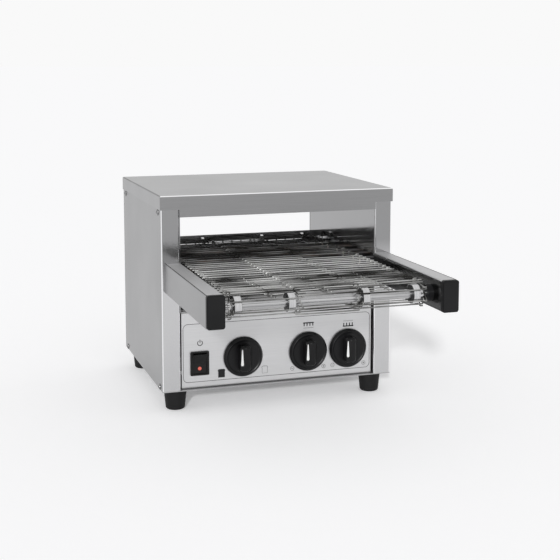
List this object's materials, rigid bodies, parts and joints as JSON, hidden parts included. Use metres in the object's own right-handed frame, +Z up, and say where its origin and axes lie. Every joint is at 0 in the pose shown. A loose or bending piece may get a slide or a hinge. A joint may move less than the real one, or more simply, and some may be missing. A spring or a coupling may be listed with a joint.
{
  "type": "conveyor_toaster",
  "caption": "Countertop conveyor toaster: brushed steel body with an open tunnel, a wire belt that runs out on two front rails, three dark knobs, a rocker switch and tapered black feet",
  "frame": {"origin": "centre of the length and width, at the level of the feet's undersides", "axes": "+X to the user's right, +Y from the loading rails to the back, +Z up"},
  "size_m": [0.3136, 0.4712, 0.277],
  "materials": {
    "brushed_steel": "fine brushed stainless sheet",
    "polished_steel": "bright polished stainless",
    "bright_wire": "drawn bright stainless wire",
    "dark_steel": "oiled dark steel",
    "cast_housing": "grey painted casting",
    "bronze": "sintered bronze",
    "element_sheath": "heat-tinted matt sheath",
    "porcelain": "unglazed porcelain",
    "insulation": "ceramic fibre blanket",
    "black_plastic": "fine satin moulded black",
    "white_plastic": "smooth white inlay",
    "black_rubber": "matt black moulded rubber",
    "red_lens": "clear red signal lens"
  },
  "bodies": {
    "root": {"side_panel_left": "brushed_steel", "side_panel_right": "brushed_steel", "top_cover": "brushed_steel", "base_plate": "brushed_steel", "front_panel": "brushed_steel", "rear_panel": "brushed_steel", "deck_plate": "brushed_steel", "tunnel_wall_left": "polished_steel", "tunnel_wall_right": "polished_steel", "tunnel_roof": "polished_steel", "insulation_blanket": "insulation", "side_screws": "polished_steel", "feet": "black_rubber", "rail_channel_left": "brushed_steel", "rail_channel_right": "brushed_steel", "rail_cover_left": "brushed_steel", "rail_cover_right": "brushed_steel", "rail_cap_left": "black_plastic", "rail_cap_right": "black_plastic", "idler_bearings": "black_plastic", "conveyor_belt": "bright_wire", "drive_bearings": "bronze", "drive_chain": "dark_steel", "gearmotor": "cast_housing", "motor_bracket": "brushed_steel", "top_elements": "element_sheath", "bottom_elements": "element_sheath", "element_bushes": "porcelain", "element_saddles": "brushed_steel", "tray_guides": "brushed_steel", "speed_control": "black_plastic", "top_heat_control": "black_plastic", "bottom_heat_control": "black_plastic", "switch_housing": "black_plastic", "terminal_block": "porcelain", "cable_gland": "black_plastic"},
    "idler_roller": {"idler_shaft": "polished_steel", "idler_tube": "polished_steel", "idler_hubs": "black_plastic", "idler_rims": "polished_steel"},
    "drive_roller": {"drive_shaft": "polished_steel", "belt_sprockets": "polished_steel", "shaft_sprocket": "dark_steel"},
    "motor_output": {"output_shaft": "polished_steel", "motor_sprocket": "dark_steel"},
    "speed_dial": {"speed_knob": "black_plastic", "speed_pointer": "white_plastic", "speed_shaft": "polished_steel"},
    "top_heat_dial": {"top_heat_knob": "black_plastic", "top_heat_pointer": "white_plastic", "top_heat_shaft": "polished_steel"},
    "bottom_heat_dial": {"bottom_heat_knob": "black_plastic", "bottom_heat_pointer": "white_plastic", "bottom_heat_shaft": "polished_steel"},
    "rocker": {"switch_rocker": "black_plastic", "switch_lens": "red_lens"},
    "tray": {"crumb_tray": "brushed_steel"}
  },
  "joints": [
    {"name": "drive_spin", "type": "hinge", "parent": "root", "child": "drive_roller", "pos_m": [0, 0.2018, 0.172], "axis": [1, 0, 0], "continuous": true, "deforming": ["conveyor_belt", "drive_chain"]},
    {"name": "idler_spin", "type": "hinge", "parent": "root", "child": "idler_roller", "pos_m": [0, -0.2012, 0.172], "axis": [1, 0, 0], "continuous": true},
    {"name": "motor_spin", "type": "hinge", "parent": "root", "child": "motor_output", "pos_m": [0.1425, 0.2018, 0.084], "axis": [1, 0, 0], "continuous": true},
    {"name": "speed_turn", "type": "hinge", "parent": "root", "child": "speed_dial", "pos_m": [-0.0483, -0.0226, 0.065], "axis": [0, 1, 0], "range_deg": [-135, 135]},
    {"name": "top_heat_turn", "type": "hinge", "parent": "root", "child": "top_heat_dial", "pos_m": [0.0402, -0.0226, 0.065], "axis": [0, 1, 0], "range_deg": [-135, 135]},
    {"name": "bottom_heat_turn", "type": "hinge", "parent": "root", "child": "bottom_heat_dial", "pos_m": [0.0958, -0.0226, 0.065], "axis": [0, 1, 0], "range_deg": [-135, 135]},
    {"name": "rocker_tilt", "type": "hinge", "parent": "root", "child": "rocker", "pos_m": [-0.1058, -0.0196, 0.0606], "axis": [1, 0, 0], "range_deg": [-14, 0]},
    {"name": "tray_slide", "type": "slide", "parent": "root", "child": "tray", "axis": [0, -1, 0], "range_m": [0, 0.2]}
  ],
  "couplings": [
    {"joint": "idler_spin", "follows": "drive_spin", "ratio": 1},
    {"joint": "motor_spin", "follows": "drive_spin", "ratio": 1}
  ]
}
